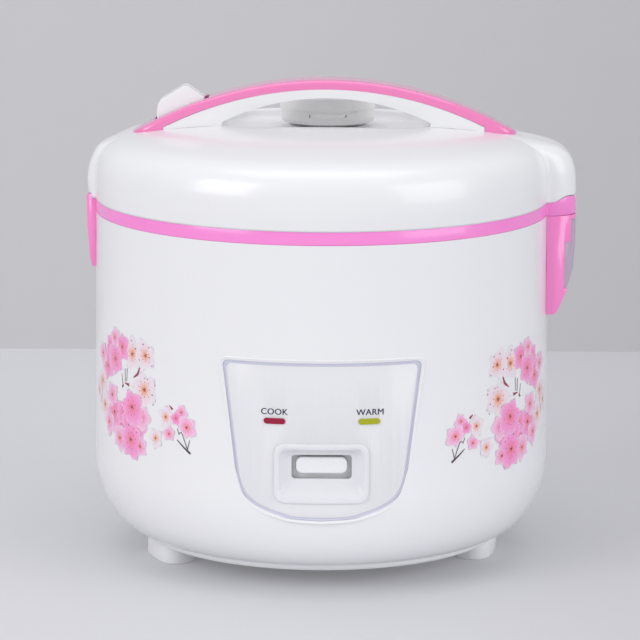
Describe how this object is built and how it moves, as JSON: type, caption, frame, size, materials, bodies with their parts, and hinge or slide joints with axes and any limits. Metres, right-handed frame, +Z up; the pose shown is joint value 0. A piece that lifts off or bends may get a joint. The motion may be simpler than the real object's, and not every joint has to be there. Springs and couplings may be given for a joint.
{
  "type": "rice cooker",
  "caption": "Drum-shaped electric rice cooker with a hinged lid, arched lid handle, thumb release, lift-off steam vent, rocker cook switch, dew collector and removable pot.",
  "frame": {"origin": "on the drum's vertical axis, at the level of the surface the feet stand on", "axes": "+X towards the lid hinge and dew collector, -Y out of the control panel, +Z up"},
  "size_m": [0.2805, 0.2624, 0.2743],
  "materials": {
    "white_shell": "gloss white plastic with printed blossom sprays",
    "white_plastic": "gloss white polypropylene",
    "pink_plastic": "gloss pink plastic",
    "red_lens": "translucent red lens",
    "lime_lens": "translucent yellow-green lens",
    "clear_plastic": "clear smoky plastic",
    "aluminium": "spun aluminium",
    "cast_aluminium": "cast and machined aluminium",
    "steel_sheet": "zinc plated steel sheet",
    "steel_pin": "bright steel",
    "brass": "plated brass",
    "silicone": "translucent white silicone",
    "black_plastic": "black phenolic plastic",
    "grey_plastic": "grey engineering plastic",
    "wire_sleeve": "glass-fibre sleeved lead",
    "magnet": "sintered ferrite"
  },
  "bodies": {
    "cooker_body": {"outer_shell": "white_shell", "seat_ring": "pink_plastic", "base_tray": "white_plastic", "bottom_plate": "steel_sheet", "feet": "white_plastic", "base_screws": "steel_pin", "inner_pot": "aluminium", "inner_liner": "steel_sheet", "heating_plate": "cast_aluminium", "heater_terminals": "brass", "plate_supports": "steel_sheet", "keep_warm_band": "grey_plastic", "sensor_guide": "steel_sheet", "sensor_spring": "steel_pin", "switch_pin": "steel_pin", "lever_bracket": "steel_sheet", "lever_spring": "steel_pin", "micro_switch": "black_plastic", "control_panel": "white_plastic", "button_bezel": "white_plastic", "cook_lens": "red_lens", "warm_lens": "lime_lens", "lamp_carrier": "grey_plastic", "neon_lamps": "clear_plastic", "power_inlet": "black_plastic", "inlet_pins": "brass", "terminal_block": "grey_plastic", "thermal_fuse": "steel_pin", "wiring": "wire_sleeve", "hinge_seat": "pink_plastic", "hinge_screws": "steel_pin", "hinge_pin": "steel_pin", "latch_catch": "pink_plastic"},
    "lid": {"lid_shell": "white_plastic", "lid_liner": "white_plastic", "inner_lid": "aluminium", "inner_lid_grommet": "silicone", "lid_gasket": "silicone", "vent_socket": "white_plastic", "handle": "white_plastic", "handle_cover": "pink_plastic", "handle_screws": "steel_pin", "lever_axle": "steel_pin", "latch_frame": "grey_plastic", "latch_axle": "steel_pin"},
    "thumb_release": {"release_lever": "white_plastic"},
    "push_link": {"latch_link": "grey_plastic"},
    "latch": {"latch_hook": "grey_plastic"},
    "steam_vent": {"vent_base": "white_plastic", "vent_cap": "white_plastic"},
    "cook_switch": {"cook_button": "white_plastic", "switch_lever": "steel_sheet"},
    "magnet_rod": {"magnet_plunger": "steel_pin", "plunger_magnet": "magnet"},
    "sensor_head": {"sensor_cup": "aluminium", "sensor_ferrite": "magnet"},
    "drip_cup": {"dew_collector": "clear_plastic"}
  },
  "joints": [
    {"name": "lid_hinge", "type": "hinge", "parent": "cooker_body", "child": "lid", "pos_m": [0.142, 0, 0.206], "axis": [0, 1, 0], "range_deg": [0, 85]},
    {"name": "thumb_release_hinge", "type": "hinge", "parent": "lid", "child": "thumb_release", "pos_m": [-0.0905, 0, 0.2475], "axis": [0, 1, 0], "range_deg": [0, 7.7], "stiffness_Nm_per_rad": 0.3, "springref_deg": -5.73},
    {"name": "push_link_slide", "type": "slide", "parent": "lid", "child": "push_link", "axis": [-1, 0, 0], "range_m": [0, 0.00225]},
    {"name": "latch_hook_hinge", "type": "hinge", "parent": "lid", "child": "latch", "pos_m": [-0.122, 0, 0.216], "axis": [0, 1, 0], "range_deg": [-8.5, 0]},
    {"name": "steam_vent_lift", "type": "slide", "parent": "lid", "child": "steam_vent", "axis": [0, 0, 1], "range_m": [0, 0.03]},
    {"name": "cook_switch_hinge", "type": "hinge", "parent": "cooker_body", "child": "cook_switch", "pos_m": [0, -0.07, 0.043], "axis": [1, 0, 0], "range_deg": [0, 2.4], "stiffness_Nm_per_rad": 1.5, "springref_deg": -2.86, "deforming": ["lever_spring"]},
    {"name": "magnet_rod_slide", "type": "slide", "parent": "cooker_body", "child": "magnet_rod", "axis": [0, 0, 1], "range_m": [0, 0.003]},
    {"name": "sensor_head_slide", "type": "slide", "parent": "cooker_body", "child": "sensor_head", "axis": [0, 0, 1], "range_m": [-0.003, 0], "stiffness_N_per_m": 400, "springref_m": 0.004, "deforming": ["sensor_spring"]},
    {"name": "dew_collector_slide", "type": "slide", "parent": "cooker_body", "child": "drip_cup", "axis": [1, 0, 0], "range_m": [0, 0.02]}
  ],
  "couplings": [
    {"joint": "push_link_slide", "follows": "thumb_release_hinge", "m_per_rad": 0.0165},
    {"joint": "latch_hook_hinge", "follows": "thumb_release_hinge", "ratio": -1.1},
    {"joint": "magnet_rod_slide", "follows": "cook_switch_hinge", "m_per_rad": 0.07}
  ]
}
